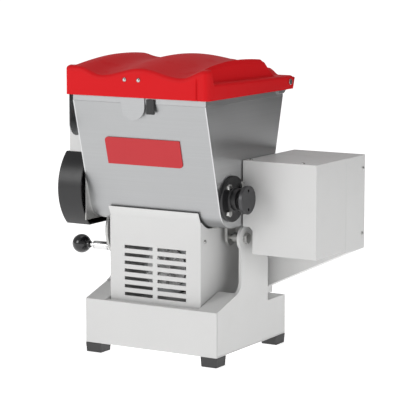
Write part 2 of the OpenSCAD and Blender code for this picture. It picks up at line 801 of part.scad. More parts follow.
module cover_screws() {
    color("silver") place() {
        for (x = [cover_x0 + 10, cover_x1 - 28]) translate([x, cover_y0 + 8, cover_z1]) {
            cylinder(r = 3.2, h = 2);
            translate([0, 0, -5]) cylinder(r = 1.6, h = 5);
        }
        for (x = [cover_x0 + 35, cover_x1 - 32]) translate([x, cover_y0 + 8, cover_z0]) rotate([180, 0, 0]) {
            cylinder(r = 2.6, h = 1.6);
            translate([0, 0, -5]) cylinder(r = 1.3, h = 5);
        }
    }
}

module case_screws() {
    color("silver") place() {
        for (z = [slant_z + 25, cover_z1 - 22]) pan_screw_x(cover_x1, case_y1 - 9, z, 3.2);
        for (x = [slant_x + 40, cover_x1 - 30]) translate([x, case_y1 - 9, slant_z0 + (x - slant_x) * tan(25)])
            rotate([0, 155, 0]) {
                cylinder(r = 3, h = 2);
                translate([0, 0, -5]) cylinder(r = 1.5, h = 5);
            }
    }
}

// ---- shafts and gears ----

module bearing_flange() {
    color("#222222") place() difference() {
        union() {
            rod_x(half_tub, half_tub + flange_t, shaft_y0, shaft_z, flange_r);
            rod_x(half_tub, half_tub + hub_len, shaft_y0, shaft_z, 18);
        }
        rod_x(half_tub - 1, half_tub + hub_len + 1, shaft_y0, shaft_z, shaft_r + run);
    }
}

module flange_bolts() {
    bolt_circle = flange_r - 8;
    color("silver") place() for (a = [45:90:315])
        hex_x(half_tub + flange_t, half_tub + flange_t + 6, shaft_y0 + bolt_circle * cos(a),
            shaft_z + bolt_circle * sin(a), 10);
}

// Round hand nut on the end of the front shaft, with two spanner holes
module end_cap() {
    color("silver") place() difference() {
        rod_x(cap_x, cap_x + cap_t, shaft_y0, shaft_z, cap_r);
        for (s = [-1, 1]) rod_x(cap_x - 1, cap_x + cap_t + 1, shaft_y0, shaft_z + s * 15, 2.5);
    }
}

// Shaft across the tub with four flat paddles
module paddle_shaft(y, x1) {
    blades = 4;
    blade_w = 34;
    first = -half_tub + 30;
    pitch = (2 * half_tub - 60) / (blades - 1);
    color("silver") place() {
        rod_x(gear_x - gear_w - 3, x1, y, shaft_z, shaft_r);
        for (i = [0:blades - 1]) translate([first + i * pitch, y, shaft_z]) rotate([90 * i, 0, 0])
            translate([-blade_w / 2, -3, 0]) cube([blade_w, 6, paddle_r - 1]);
    }
}

module paddle_shaft_front() { paddle_shaft(shaft_y0, cap_x); }

module paddle_shaft_rear() { paddle_shaft(shaft_y1, worm_x + 20); }

// Backing plate on the tub's left side, with the two bearing bosses
module gear_plate() {
    color("gray") place() difference() {
        union() {
            block([-half_tub - plate_t, tub_y - gear_cover_half + 12, tub_z],
                [-half_tub, tub_y + gear_cover_half - 12, gear_cover_z1 - 4]);
            for (y = [shaft_y0, shaft_y1]) rod_x(gear_x + 1, -half_tub, y, shaft_z, 17);
        }
        for (y = [shaft_y0, shaft_y1]) rod_x(gear_x - 1, -half_tub + 1, y, shaft_z, shaft_r + run);
    }
}

// Radius r of a 20 degree involute: half the tooth's angle there
base_circle = shaft_gap / 2 * cos(20);
backlash = 0.45;                            // degrees taken off each side of a tooth
function involute(r) = let (a = acos(min(1, base_circle / r))) tan(a) * 180 / PI - a;
function half_tooth(r) = 90 / gear_teeth - backlash + involute(shaft_gap / 2) - involute(r);

module spur_gear(y) {
    root = shaft_gap / 2 - 1.25 * gear_module;
    radii = [root, base_circle, for (k = [1:4]) base_circle + (gear_tip - 0.2 - base_circle) * k / 4];
    color("dimgray") place() difference() {
        along_x(gear_x - gear_w, gear_x) translate([y, shaft_z]) polygon([
            for (i = [0:gear_teeth - 1]) each concat(
                [for (r = radii) r * [cos(i * 360 / gear_teeth - half_tooth(r)),
                    sin(i * 360 / gear_teeth - half_tooth(r))]],
                [for (k = [len(radii) - 1:-1:0]) let (r = radii[k]) r * [
                    cos(i * 360 / gear_teeth + half_tooth(r)), sin(i * 360 / gear_teeth + half_tooth(r))]])]);
        rod_x(gear_x - gear_w - 1, gear_x + 1, y, shaft_z, shaft_r);
    }
}

module gear_front() { spur_gear(shaft_y0); }

module gear_rear() { spur_gear(shaft_y1); }

// Outline of the gear cover: flat top and bottom, bowed ends
module gear_cover_outline(i) {
    bow_r = 83;
    half_h = (gear_cover_z1 - gear_cover_z0) / 2;
    translate([tub_y, (gear_cover_z0 + gear_cover_z1) / 2]) intersection() {
        translate([-gear_cover_half, -half_h + i]) square([2 * gear_cover_half, 2 * (half_h - i)]);
        union() for (s = [-1, 1]) {
            translate([s * (gear_cover_half - bow_r), 0]) circle(bow_r - i, $fn = 96);
            translate([-20, -half_h]) square([40, 2 * half_h]);
        }
    }
}

module gear_cover() {
    color("#222222") place() difference() {
        along_x(gear_cover_out, gear_cover_x) gear_cover_outline(0);
        along_x(gear_cover_out + sheet, gear_cover_x + 1) gear_cover_outline(sheet);
    }
}

module gear_cover_screws() {
    color("silver") place() for (s = [-1, 1], z = [gear_cover_z0 + 10, gear_cover_z1 - 10])
        mirror([1, 0, 0]) pan_screw_x(-gear_cover_out, tub_y + s * (gear_cover_half - 26), z, 3.4);
}

// ---- lid ----

// Measures of the lid's skin
side_wall_x = lid_w / 2 - 12;               // outer faces of the side ridges, from the lid's middle
ridge_d = lid_d - 10.5;                     // length of the ridges
front_band = 13;                            // depth of the band in front of the side ridges
crest_x = 9;                                // the middle ridge's crest, from the lid's middle
crest_half = 0.278 * lid_w;                 // from that crest to its valleys
crest_rise = 0.165 * lid_w;                 // from a valley to the next crest outwards

function share(v) = max(0, min(1, v));
function slope_down(t) = let (u = share(t)) u * u * (3 - 2 * u);
function along(y) = share((y - lid_y0) / ridge_d);
function wave(d) = d < crest_half ? (1 + cos(180 * d / crest_half)) / 2
    : (1 - cos(180 * share((d - crest_half) / crest_rise))) / 2;
function arch(x, y) = sin(180 * pow(along(y), 1 - 0.2 * pow(share(x / side_wall_x), 4)));
function crown(x, y) = lid_low + lid_wave * wave(abs(x - crest_x))
    + lid_arch * arch(x, y) * (1 - 0.25 * pow(share(abs(x) / side_wall_x), 4));
function ledge(y) = lid_low - 6 - 5 * along(y);
function ridge_drop(x, y) = slope_down((along(y) - 0.7) / 0.16)
    * slope_down((abs(x) / side_wall_x - 0.7) / 0.16);

// Height of the lid's skin above its lower edge, with x from its middle
function skin(x, y) =
    let (top = crown(x, y), low = ledge(y), front = y < lid_y0 + front_band)
    abs(x) > side_wall_x && !front ? low : top + (low - top) * ridge_drop(x, y);

// Solid under the skin, drawn in by i and lowered by i
module lid_block(i, z0) {
    columns = 22;
    rows = 16;
    half = lid_w / 2 - i;
    wall = side_wall_x - i;
    y0 = lid_y0 + i;
    y1 = lid_y1 - i;
    xs = concat([-half, -wall - 1.2], [for (k = [0:columns]) -wall + 2 * wall * k / columns],
        [wall + 1.2, half]);
    back = lid_y0 + front_band + 0.5;
    ys = concat([y0, back - 1], [for (k = [0:rows]) back + (y1 - back) * k / rows]);
    nx = len(xs);
    ny = len(ys);
    top = [for (y = ys, x = xs) [lid_mid + x, y, lid_z + skin(x * side_wall_x / wall, y) - i]];
    bottom = [for (y = ys, x = xs) [lid_mid + x, y, z0]];
    n = nx * ny;
    faces = concat(
        [for (r = [0:ny - 2], c = [0:nx - 2]) each let (a = r * nx + c)
            [[a, a + nx, a + 1], [a + 1, a + nx, a + nx + 1]]],
        [for (r = [0:ny - 2], c = [0:nx - 2]) each let (a = n + r * nx + c)
            [[a, a + 1, a + nx], [a + 1, a + nx + 1, a + nx]]],
        [for (c = [0:nx - 2]) each [[c, c + 1, n + c + 1], [c, n + c + 1, n + c]]],
        [for (c = [0:nx - 2]) each let (a = (ny - 1) * nx + c) [[a, n + a, a + 1], [a + 1, n + a, n + a + 1]]],
        [for (r = [0:ny - 2]) each let (a = r * nx) [[a, n + a, a + nx], [a + nx, n + a, n + a + nx]]],
        [for (r = [0:ny - 2]) each let (a = r * nx + nx - 1)
            [[a, a + nx, n + a], [a + nx, n + a + nx, n + a]]]);
    polyhedron(concat(top, bottom), faces, convexity = 8);
}

module lid() {
    color("red") place() difference() {
        lid_block(0, lid_z);
        lid_block(lid_t, lid_z - 1);
        rod_x(-lid_w, lid_w, hinge_y, hinge_z, 3);
        block([-half_tub - 3.5, lid_y1 - lid_t - 1, lid_z - 1], [half_tub + 3.5, lid_y1 + 1, rim_z + 1]);
        for (side = [0, 1]) mirror([side, 0, 0])
            block([half_tub - 0.5, lid_y1 - lid_t - 1, lid_z - 1], [half_tub + 3.5, lid_y1 + 1, hinge_z + 6.5]);
    }
}

tab_w = 44;
tab_x = -9;
screw_gap = 26;

// Outline of a tab with a round lower end, from rise above the lid's edge to drop below it
module tab_outline(rise, drop) {
    translate([-tab_w / 2, lid_z - drop + tab_w / 2]) square([tab_w, rise + drop - tab_w / 2]);
    intersection() {
        translate([0, lid_z - drop + tab_w / 2]) circle(tab_w / 2);
        translate([-tab_w / 2, lid_z - drop]) square([tab_w, rise + drop]);
    }
}

// Stainless tabs inside the lid's front and left skirts, which work the interlock
module lid_tabs() {
    tab_t = 1.2;
    inside = lid_t + tab_t;
    color("lightgray") place() {
        along_y(lid_y0 + lid_t, lid_y0 + inside) translate([tab_x, 0]) tab_outline(lid_low + 2, 36.5);
        along_x(lid_x0 + lid_t, lid_x0 + inside) translate([lid_y0 + 30, 0])
            tab_outline(lid_low - 11, 69);
    }
}

module tab_screws() {
    color("silver") place() for (s = [-1, 1]) translate([tab_x + s * screw_gap / 2, lid_y0, lid_z + 28])
        rotate([90, 0, 0]) intersection() {
            sphere(r = 3.4);
            cylinder(r = 4, h = 3);
        }
}

// Screws that the lid turns on, fixed in its sides
module hinge_screws() {
    color("silver") place() for (side = [-1, 1]) {
        out = side < 0 ? lid_x0 : lid_x1;
        rod_x(min(side * (half_tub - 1), out), max(side * (half_tub - 1), out), hinge_y, hinge_z, 3);
        rod_x(min(out, out + 2 * side), max(out, out + 2 * side), hinge_y, hinge_z, 5);
    }
}

base_pan();
side_frame_left();
side_frame_right();
rubber_feet();
pivot_bolts();
pivot_spacers();
pivot_clips();
plunger_sleeve();
plunger_nut();
plunger_spring();
plunger_pin();
ball_knob();
cradle();
lock_disc();
tub_wrap();
tub_side_left();
tub_side_right();
tub_rim();
plaque();
sensor_block();
control_box();
front_housing();
housing_floor();
housing_side_left();
housing_side_right();
housing_screws();
motor_bracket();
motor_body();
motor_shields();
rotor_shaft();
fan();
motor_pulley();
drive_belt();
driven_pulley();
worm_shaft();
gearbox_case();
gearbox_cover();
cover_screws();
belt_case_front();
belt_case_rear();
belt_case_back();
case_screws();
cable_gland();
switch_body();
switch_rocker();
bearing_flange();
flange_bolts();
end_cap();
gear_plate();
paddle_shaft_front();
paddle_shaft_rear();
worm_wheel();
gear_front();
gear_rear();
gear_cover();
gear_cover_screws();
lid();
lid_tabs();
tab_screws();
hinge_screws();
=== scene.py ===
import json
import math

import bmesh
import bpy
from mathutils import Matrix, Vector


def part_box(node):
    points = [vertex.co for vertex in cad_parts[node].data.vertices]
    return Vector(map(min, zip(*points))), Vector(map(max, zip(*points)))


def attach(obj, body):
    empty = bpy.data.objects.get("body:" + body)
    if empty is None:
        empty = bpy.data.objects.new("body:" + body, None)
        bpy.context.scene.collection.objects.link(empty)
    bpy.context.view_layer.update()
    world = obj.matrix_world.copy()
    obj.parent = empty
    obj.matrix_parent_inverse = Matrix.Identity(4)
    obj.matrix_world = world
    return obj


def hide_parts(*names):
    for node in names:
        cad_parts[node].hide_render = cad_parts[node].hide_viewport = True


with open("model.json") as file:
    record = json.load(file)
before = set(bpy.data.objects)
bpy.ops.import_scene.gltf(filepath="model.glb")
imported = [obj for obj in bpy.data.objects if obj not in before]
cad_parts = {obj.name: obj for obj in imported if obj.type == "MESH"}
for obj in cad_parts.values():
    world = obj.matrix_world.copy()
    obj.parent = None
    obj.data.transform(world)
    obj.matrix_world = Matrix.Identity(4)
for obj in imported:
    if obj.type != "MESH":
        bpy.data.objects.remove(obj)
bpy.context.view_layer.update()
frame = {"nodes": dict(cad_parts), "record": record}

# ---- Camera ----
# A long lens about three metres off, a little above the tub's rim, turned towards the
# machine's front right corner.
view_turn = math.radians(30.75)
view_rise = math.radians(8.23)
view_distance = 3.073
view_aim = Vector((0.0417, -0.0733, 0.2617))

lens = bpy.data.cameras.new("camera")
lens.lens = 172.7
lens.sensor_width = 36.0
lens.clip_end = 30.0
camera = bpy.data.objects.new("camera", lens)
bpy.context.scene.collection.objects.link(camera)
from_aim = Vector((math.sin(view_turn) * math.cos(view_rise), -math.cos(view_turn) * math.cos(view_rise),
                   math.sin(view_rise)))
camera.location = view_aim + view_distance * from_aim
camera.rotation_euler = (-from_aim).to_track_quat("-Z", "Y").to_euler()
bpy.context.scene.camera = camera

# ---- Studio ----
# An even white room with a soft key low in front on the left and a weak fill on the right. The
# sweep glows a little, so it stays white, and a dark card on the far right gives the stainless
# side something to mirror.
bpy.context.scene.view_settings.view_transform = "Standard"


def area_light(name, place, aim, size, power):
    data = bpy.data.lights.new(name, "AREA")
    data.shape = "RECTANGLE"
    data.size, data.size_y = size
    data.energy = power
    light = bpy.data.objects.new(name, data)
    light.location = place
    light.rotation_euler = (Vector(aim) - Vector(place)).to_track_quat("-Z", "Y").to_euler()
    bpy.context.scene.collection.objects.link(light)


def studio_sheet(name, corners, color, glow):
    """A flat sheet of matt paper that isn't part of the machine."""
    mesh = bpy.data.meshes.new(name)
    mesh.from_pydata(corners, [], [(0, 1, 2, 3)])
    sheet = bpy.data.objects.new(name, mesh)
    bpy.context.scene.collection.objects.link(sheet)
    paper = bpy.data.materials.new(name + "_paper")
    paper.use_nodes = True
    shader = paper.node_tree.nodes["Principled BSDF"]
    shader.inputs["Base Color"].default_value = (*color, 1)
    shader.inputs["Roughness"].default_value = 0.95
    shader.inputs["Specular IOR Level"].default_value = 0.0
    shader.inputs["Emission Color"].default_value = (1, 1, 1, 1)
    shader.inputs["Emission Strength"].default_value = glow
    mesh.materials.append(paper)


area_light("key", (-1.7, -3.0, 1.5), (0, 0, 0.25), (1.5, 1.5), 33)
area_light("fill", (2.9, -0.9, 1.2), (0, 0, 0.25), (1.4, 1.4), 7)
area_light("top", (0.2, 0.3, 2.8), (0, 0, 0.3), (2.0, 2.0), 10)
world = bpy.data.worlds.new("white_room")
world.use_nodes = True
world.node_tree.nodes["Background"].inputs["Color"].default_value = (1, 1, 1, 1)
world.node_tree.nodes["Background"].inputs["Strength"].default_value = 0.4
bpy.context.scene.world = world
studio_sheet("sweep", [(-40, -40, 0), (40, -40, 0), (40, 40, 0), (-40, 40, 0)], (0.93, 0.93, 0.93), 0.72)
studio_sheet("dark_card", [(0.25, 1.25, 0.19), (1.25, 0.65, 0.19), (1.25, 0.65, 1.5), (0.25, 1.25, 1.5)],
             (0.05, 0.05, 0.05), 0.0)

# ---- Base pan and side frames ----
# Folded steel sheet, powder-coated off-white with a fine orange-peel skin. The pan is bent up
# at the front and back and the two side frames with their round lugs are riveted to it.
nodes = frame["nodes"]
body_of_node = {node: body for body, members in frame["record"]["behaviour"]["bodies"].items()
                for node in members}


def add_node(tree, kind, **values):
    node = tree.nodes.new(kind)
    for key, value in values.items():
        if isinstance(value, bpy.types.NodeSocket):
            tree.links.new(value, node.inputs[key])
        elif hasattr(node, key) and key not in node.inputs:
            setattr(node, key, value)
        else:
            node.inputs[key].default_value = value
    return node


def new_group(name, inputs, outputs):
    group = bpy.data.node_groups.new(name, "ShaderNodeTree")
    for label, kind, value in inputs:
        socket = group.interface.new_socket(name=label, in_out="INPUT", socket_type=kind)
        if value is not None:
            socket.default_value = value
    for label, kind in outputs:
        group.interface.new_socket(name=label, in_out="OUTPUT", socket_type=kind)
    return group, group.nodes.new("NodeGroupInput"), group.nodes.new("NodeGroupOutput")


def surface_skin_group():
    """Fine bumps, soft colour drift and a little soiling for painted and moulded surfaces."""
    group, given, out = new_group("surface_skin", [
        ("Color", "NodeSocketColor", (0.8, 0.8, 0.8, 1)), ("Drift", "NodeSocketFloat", 0.03),
        ("Grain Scale", "NodeSocketFloat", 900.0), ("Grain Height", "NodeSocketFloat", 0.00002),
        ("Roughness", "NodeSocketFloat", 0.4), ("Soil", "NodeSocketFloat", 0.1)],
        [("Color", "NodeSocketColor"), ("Roughness", "NodeSocketFloat"), ("Height", "NodeSocketFloat")])
    place = add_node(group, "ShaderNodeTexCoord")
    grain = add_node(group, "ShaderNodeTexNoise", Vector=place.outputs["Object"],
                     Scale=given.outputs["Grain Scale"], Detail=3.0)
    drift = add_node(group, "ShaderNodeTexNoise", Vector=place.outputs["Object"], Scale=9.0, Detail=4.0)
    blotch = add_node(group, "ShaderNodeTexNoise", Vector=place.outputs["Object"], Scale=38.0, Detail=6.0)
    blotch_range = add_node(group, "ShaderNodeMapRange", Value=blotch.outputs["Fac"])
    blotch_range.inputs["From Min"].default_value = 0.52
    blotch_range.inputs["From Max"].default_value = 0.78
    centred = add_node(group, "ShaderNodeMath", operation="SUBTRACT")
    group.links.new(drift.outputs["Fac"], centred.inputs[0])
    centred.inputs[1].default_value = 0.5
    scaled = add_node(group, "ShaderNodeMath", operation="MULTIPLY_ADD")
    group.links.new(centred.outputs[0], scaled.inputs[0])
    group.links.new(given.outputs["Drift"], scaled.inputs[1])
    scaled.inputs[2].default_value = 1.0
    tint = add_node(group, "ShaderNodeVectorMath", operation="SCALE")
    group.links.new(given.outputs["Color"], tint.inputs[0])
    group.links.new(scaled.outputs[0], tint.inputs["Scale"])
    soil = add_node(group, "ShaderNodeMath", operation="MULTIPLY")
    group.links.new(blotch_range.outputs[0], soil.inputs[0])
    group.links.new(given.outputs["Soil"], soil.inputs[1])
    dirty = add_node(group, "ShaderNodeMix", data_type="RGBA", blend_type="MULTIPLY")
    group.links.new(soil.outputs[0], dirty.inputs[0])
    group.links.new(tint.outputs[0], dirty.inputs[6])
    dirty.inputs[7].default_value = (0.72, 0.7, 0.66, 1)
    rough = add_node(group, "ShaderNodeMath", operation="MULTIPLY_ADD")
    group.links.new(blotch_range.outputs[0], rough.inputs[0])
    rough.inputs[1].default_value = 0.12
    group.links.new(given.outputs["Roughness"], rough.inputs[2])
    height = add_node(group, "ShaderNodeMath", operation="MULTIPLY")
    group.links.new(grain.outputs["Fac"], height.inputs[0])
    group.links.new(given.outputs["Grain Height"], height.inputs[1])
    group.links.new(dirty.outputs[2], out.inputs["Color"])
    group.links.new(rough.outputs[0], out.inputs["Roughness"])
    group.links.new(height.outputs[0], out.inputs["Height"])
    return group


surface_skin = surface_skin_group()


def skinned_material(name, color, roughness, grain_scale, grain_height, drift=0.05, soil=0.1,
                     metallic=0.0, coat=0.0, gloss=0.5):
    material = bpy.data.materials.new(name)
    material.use_nodes = True
    tree = material.node_tree
    shader = tree.nodes["Principled BSDF"]
    skin = tree.nodes.new("ShaderNodeGroup")
    skin.node_tree = surface_skin
    for label, value in (("Color", (*color, 1)), ("Drift", drift), ("Grain Scale", grain_scale),
                         ("Grain Height", grain_height), ("Roughness", roughness), ("Soil", soil)):
        skin.inputs[label].default_value = value
    bump = add_node(tree, "ShaderNodeBump", Height=skin.outputs["Height"])
    bump.inputs["Strength"].default_value = 1.0
    bump.inputs["Distance"].default_value = 1.0
    tree.links.new(skin.outputs["Color"], shader.inputs["Base Color"])
    tree.links.new(skin.outputs["Roughness"], shader.inputs["Roughness"])
    tree.links.new(bump.outputs["Normal"], shader.inputs["Normal"])
    shader.inputs["Metallic"].default_value = metallic
    shader.inputs["Specular IOR Level"].default_value = gloss
    shader.inputs["Coat Weight"].default_value = coat
    shader.inputs["Coat Roughness"].default_value = 0.08
    return material


def link_mesh(name, mesh):
    piece = bpy.data.objects.new(name, mesh)
    bpy.context.scene.collection.objects.link(piece)
    return piece


def finish_mesh(mesh, material, crease=32):
    """One material, smooth shading, and sharp edges past the crease angle."""
    mesh.materials.clear()
    mesh.materials.append(material)
    mesh.polygons.foreach_set("material_index", [0] * len(mesh.polygons))
    mesh.polygons.foreach_set("use_smooth", [True] * len(mesh.polygons))
    mesh.set_sharp_from_angle(angle=math.radians(crease))


def applied(piece):
    """Turns a piece's modifiers into its mesh."""
    graph = bpy.context.evaluated_depsgraph_get()
    mesh = bpy.data.meshes.new_from_object(piece.evaluated_get(graph))
    piece.modifiers.clear()
    piece.data = mesh
    return piece


def softened(node, material, radius=0.0008, segments=3):
    """A copy of a CAD node with its flat faces rejoined and its edges rounded, standing for it."""
    mesh = nodes[node].data.copy()
    shape = bmesh.new()
    shape.from_mesh(mesh)
    bmesh.ops.remove_doubles(shape, verts=shape.verts, dist=1e-6)
    bmesh.ops.dissolve_limit(shape, angle_limit=math.radians(0.6), verts=shape.verts, edges=shape.edges)
    shape.to_mesh(mesh)
    shape.free()
    piece = link_mesh(node + "_skin", mesh)
    round_edges = piece.modifiers.new("round", "BEVEL")
    round_edges.width = radius
    round_edges.segments = segments
    round_edges.limit_method = "ANGLE"
    round_edges.angle_limit = math.radians(38)
    round_edges.use_clamp_overlap = True
    bpy.context.view_layer.update()
    applied(piece)
    finish_mesh(piece.data, material)
    flat_faces = piece.modifiers.new("flats", "WEIGHTED_NORMAL")
    flat_faces.keep_sharp = True
    bpy.context.view_layer.update()
    applied(piece)
    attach(piece, body_of_node[node])
    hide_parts(node)
    return piece


powder_coat = skinned_material("powder_coat", (0.66, 0.66, 0.655), 0.38, 1400, 0.000012, soil=0.03)
softened("base_pan", powder_coat, 0.0014)
softened("side_frame_left", powder_coat, 0.0009)
softened("side_frame_right", powder_coat, 0.0009)

# ---- Feet ----
# Four tapered blocks of moulded black rubber, screwed up into the corners of the pan from
# underneath.
foot_rubber = skinned_material("foot_rubber", (0.045, 0.045, 0.046), 0.6, 700, 0.00006, soil=0.2)
softened("rubber_feet", foot_rubber, 0.0018)

# ---- Pivots ----
# Zinc-plated hexagon bolts in the lugs, clamped by round spacer nuts. The head's two ears turn
# on their inner ends, and a spring ring keeps each ear on.


def streaked_metal(name, color, roughness, direction, streak=0.5, depth=0.000006, metallic=1.0):
    """Metal with fine lines along a direction: brushed sheet, turned or drawn bar."""
    material = bpy.data.materials.new(name)
    material.use_nodes = True
    tree = material.node_tree
    shader = tree.nodes["Principled BSDF"]
    lines = tree.nodes.new("ShaderNodeGroup")
    lines.node_tree = metal_lines
    lines.inputs["Stretch"].default_value = direction
    lines.inputs["Color"].default_value = (*color, 1)
    lines.inputs["Roughness"].default_value = roughness
    lines.inputs["Streak"].default_value = streak
    lines.inputs["Depth"].default_value = depth
    bump = add_node(tree, "ShaderNodeBump", Height=lines.outputs["Height"])
    bump.inputs["Strength"].default_value = 1.0
    bump.inputs["Distance"].default_value = 1.0
    tree.links.new(lines.outputs["Color"], shader.inputs["Base Color"])
    tree.links.new(lines.outputs["Roughness"], shader.inputs["Roughness"])
    tree.links.new(bump.outputs["Normal"], shader.inputs["Normal"])
    shader.inputs["Metallic"].default_value = metallic
    return material


def metal_lines_group():
    """Long thin noise along one way, for the colour, roughness and height of brushed metal."""
    group, given, out = new_group("metal_lines", [
        ("Stretch", "NodeSocketVector", (4.0, 900.0, 900.0)),
        ("Color", "NodeSocketColor", (0.6, 0.6, 0.6, 1)), ("Roughness", "NodeSocketFloat", 0.3),
        ("Streak", "NodeSocketFloat", 0.5), ("Depth", "NodeSocketFloat", 0.00001)],
        [("Color", "NodeSocketColor"), ("Roughness", "NodeSocketFloat"), ("Height", "NodeSocketFloat")])
    place = add_node(group, "ShaderNodeTexCoord")
    stretch = add_node(group, "ShaderNodeVectorMath", operation="MULTIPLY")
    group.links.new(place.outputs["Object"], stretch.inputs[0])
    group.links.new(given.outputs["Stretch"], stretch.inputs[1])
    fine = add_node(group, "ShaderNodeTexNoise", Vector=stretch.outputs[0], Scale=1.0, Detail=4.0)
    cloud = add_node(group, "ShaderNodeTexNoise", Vector=place.outputs["Object"], Scale=14.0, Detail=5.0)
    centred = add_node(group, "ShaderNodeMath", operation="SUBTRACT")
    group.links.new(fine.outputs["Fac"], centred.inputs[0])
    centred.inputs[1].default_value = 0.5
    tone = add_node(group, "ShaderNodeMath", operation="MULTIPLY_ADD")
    group.links.new(centred.outputs[0], tone.inputs[0])
    group.links.new(given.outputs["Streak"], tone.inputs[1])
    tone.inputs[2].default_value = 1.0
    tint = add_node(group, "ShaderNodeVectorMath", operation="SCALE")
    group.links.new(given.outputs["Color"], tint.inputs[0])
    group.links.new(tone.outputs[0], tint.inputs["Scale"])
    worn = add_node(group, "ShaderNodeMath", operation="MULTIPLY_ADD")
    group.links.new(cloud.outputs["Fac"], worn.inputs[0])
    worn.inputs[1].default_value = 0.14
    group.links.new(given.outputs["Roughness"], worn.inputs[2])
    height = add_node(group, "ShaderNodeMath", operation="MULTIPLY")
    group.links.new(fine.outputs["Fac"], height.inputs[0])
    group.links.new(given.outputs["Depth"], height.inputs[1])
    group.links.new(tint.outputs[0], out.inputs["Color"])
    group.links.new(worn.outputs[0], out.inputs["Roughness"])
    group.links.new(height.outputs[0], out.inputs["Height"])
    return group


metal_lines = metal_lines_group()
zinc_plate = streaked_metal("zinc_plate", (0.5, 0.5, 0.49), 0.2, (300.0, 300.0, 300.0), 0.25, 0.000008)
spring_steel = streaked_metal("spring_steel", (0.2, 0.2, 0.21), 0.34, (500.0, 500.0, 500.0), 0.3)
softened("pivot_bolts", zinc_plate, 0.0006)
softened("pivot_spacers", zinc_plate, 0.0005)
softened("pivot_clips", spring_steel, 0.0002, 2)

# ---- Index plunger ----
# A polished sleeve nutted through the left side frame, with a sprung pin inside it that holds
# the lock disc, and a black moulded ball to pull it by.


def turned(name, profile, start, axis, material, body, stands_for=(), segments=64):
    """A closed turned piece. The profile is (distance along the axis, radius) from end to end."""
    frame_of = {"X": Matrix(((0, 0, 1), (1, 0, 0), (0, 1, 0))),
                "Y": Matrix(((1, 0, 0), (0, 0, 1), (0, -1, 0))), "Z": Matrix.Identity(3)}[axis]
    shape = bmesh.new()
    rings = []
    for along, radius in profile:
        if radius == 0:
            rings.append([shape.verts.new(Vector(start) + frame_of @ Vector((0, 0, along)))])
            continue
        rings.append([shape.verts.new(Vector(start) + frame_of @ Vector(
            (radius * math.cos(math.tau * k / segments), radius * math.sin(math.tau * k / segments), along)))
            for k in range(segments)])
    for low, high in zip(rings, rings[1:]):
        for k in range(segments):
            m = (k + 1) % segments
            corners = [low[k % len(low)], low[m % len(low)], high[m % len(high)], high[k % len(high)]]
            corners = [v for i, v in enumerate(corners) if v not in corners[:i]]
            shape.faces.new(corners)
    bmesh.ops.recalc_face_normals(shape, faces=shape.faces)
    mesh = bpy.data.meshes.new(name)
    shape.to_mesh(mesh)
    shape.free()
    piece = link_mesh(name, mesh)
    finish_mesh(mesh, material, 28)
    if body:
        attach(piece, body)
    if stands_for:
        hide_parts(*stands_for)
    return piece


def middle(node):
    low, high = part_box(node)
    return (low + high) / 2


def repaint(node, material):
    """A CAD node that stays as it is, in its own material."""
    mesh = nodes[node].data
    mesh.materials.clear()
    mesh.materials.append(material)
    mesh.polygons.foreach_set("material_index", [0] * len(mesh.polygons))


bright_steel = streaked_metal("bright_steel", (0.74, 0.74, 0.74), 0.16, (30.0, 1500.0, 1500.0), 0.2,
                              0.000003)
sleeve_low, sleeve_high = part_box("plunger_sleeve")
sleeve_r = (sleeve_high.z - sleeve_low.z) / 2
lug_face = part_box("side_frame_left")[0].x
sleeve_axis = Vector((0, middle("plunger_sleeve").y, middle("plunger_sleeve").z))
out_len = lug_face - sleeve_low.x
sleeve_len = sleeve_high.x - sleeve_low.x
turned("sleeve_barrel", [
    (0, 0.0045), (0, sleeve_r - 0.0012), (0.0008, sleeve_r - 0.0004), (0.0026, sleeve_r - 0.0004),
    (0.0032, sleeve_r - 0.0012), (0.0042, sleeve_r - 0.0012), (0.005, sleeve_r), (out_len - 0.006, sleeve_r),
    (out_len - 0.0052, sleeve_r - 0.0009), (out_len - 0.0044, sleeve_r - 0.0009),
    (out_len - 0.0038, sleeve_r),
    (out_len, sleeve_r), (out_len, sleeve_r - 0.001), (sleeve_len, sleeve_r - 0.001),
    (sleeve_len, 0.0042), (out_len, 0.0042), (0.003, 0.0042), (0, 0.0045)],
    sleeve_axis + Vector((sleeve_low.x, 0, 0)), "X", bright_steel, "base", ("plunger_sleeve",))
softened("plunger_nut", zinc_plate, 0.0005)
repaint("plunger_pin", bright_steel)
repaint("plunger_spring", bright_steel)

knob_low, knob_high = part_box("ball_knob")
knob_r = (knob_high.z - knob_low.z) / 2
ball_black = skinned_material("ball_black", (0.008, 0.008, 0.009), 0.16, 300, 0.000004, soil=0.05,
                              coat=0.4)
ball_profile = [(0, 0)] + [(knob_r - knob_r * math.cos(a), knob_r * math.sin(a)) for a in
                           [math.radians(6 * k) for k in range(1, 27)]]
knob_len = knob_high.x - knob_low.x
ball_profile += [(knob_len - 0.001, 0.0062), (knob_len, 0.0054), (knob_len, 0)]
turned("ball", ball_profile, (knob_low.x, middle("ball_knob").y, middle("ball_knob").z), "X", ball_black,
       "plunger", ("ball_knob",), 72)

# ---- Cradle and lock disc ----
# A zinc-plated plate under the tub with an ear on each side, and the slotted disc that the
# plunger's pin holds. Plain cut and bent plate.
plate_zinc = streaked_metal("plate_zinc", (0.5, 0.5, 0.49), 0.36, (60.0, 200.0, 200.0), 0.3)
softened("cradle", plate_zinc, 0.0006)
softened("lock_disc", plate_zinc, 0.0005)

